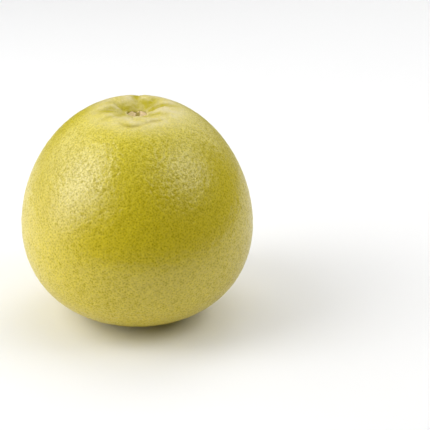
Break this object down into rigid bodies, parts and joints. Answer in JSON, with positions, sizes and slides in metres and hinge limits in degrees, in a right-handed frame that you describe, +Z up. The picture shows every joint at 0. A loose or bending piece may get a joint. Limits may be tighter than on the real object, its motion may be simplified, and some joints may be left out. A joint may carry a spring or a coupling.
{
  "type": "pomelo",
  "caption": "Whole round citrus fruit with a pitted rind, a puckered basin round its dry stem button, and a small flat spot to stand on.",
  "frame": {"origin": "centre of the small flat spot at the blossom end, on the surface that the fruit stands on", "axes": "+Z up the core towards the stem end, -Y towards the viewer of the picture, +X to that viewer's right"},
  "size_m": [0.15, 0.15, 0.1419],
  "materials": {
    "rind": "yellow-green waxy rind, satin, finely pitted with oil glands",
    "dry_stem": "dry tan woody tissue, matt"
  },
  "bodies": {
    "root": {"fruit": "rind", "stem_button": "dry_stem"}
  },
  "joints": []
}
